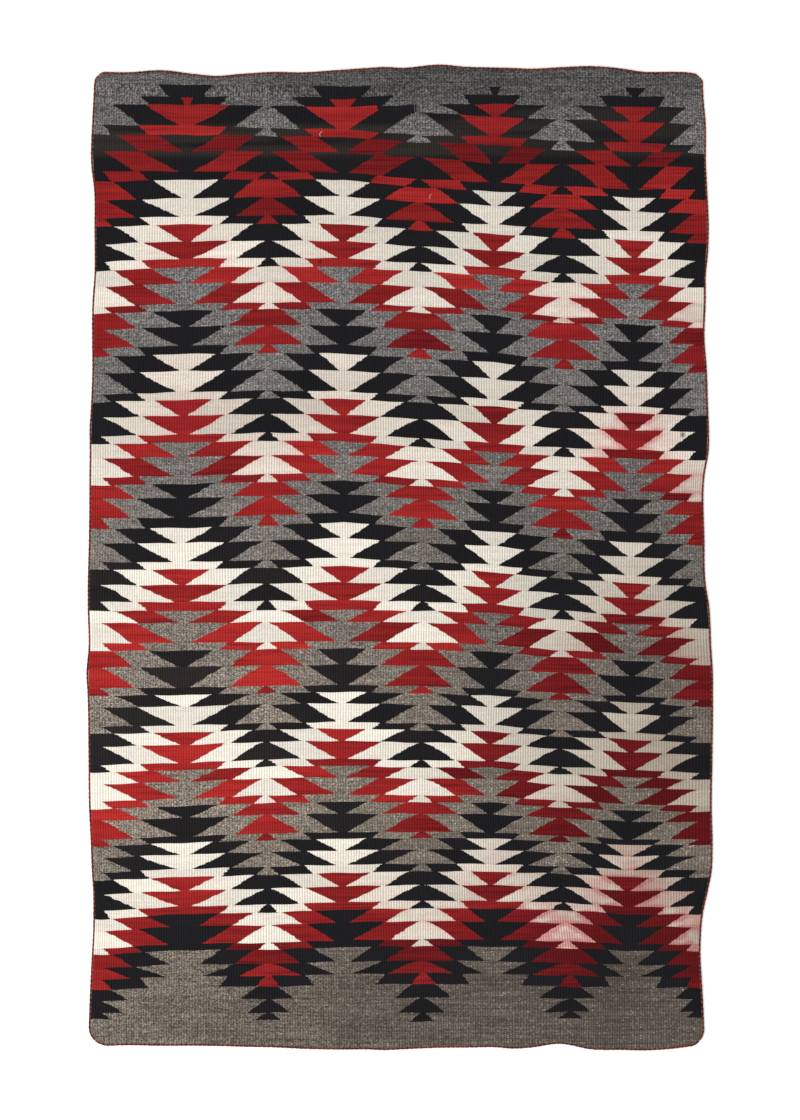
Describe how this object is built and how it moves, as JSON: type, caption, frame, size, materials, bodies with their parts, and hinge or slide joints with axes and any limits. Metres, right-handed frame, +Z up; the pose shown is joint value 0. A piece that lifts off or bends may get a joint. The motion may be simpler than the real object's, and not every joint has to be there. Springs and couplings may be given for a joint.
{
  "type": "tapestry-woven wool rug",
  "caption": "Flat hand-woven wool rug with raised warp ribs, a serrated zigzag pattern in red, black, ivory and grey, plain grey ends and a twisted red cord along every edge.",
  "frame": {"origin": "centre of the rug's underside, on the surface it lies on", "axes": "+X across the rug to its right edge, +Y along its length to the end with the cooler grey, +Z up out of its face"},
  "size_m": [1.0216, 1.6076, 0.0046],
  "materials": {
    "woven_wool": "matte",
    "cord_wool": "matte"
  },
  "bodies": {
    "root": {"woven_field": "woven_wool", "end_cord_bottom": "cord_wool", "end_cord_top": "cord_wool", "side_cord_left": "cord_wool", "side_cord_right": "cord_wool"}
  },
  "joints": []
}
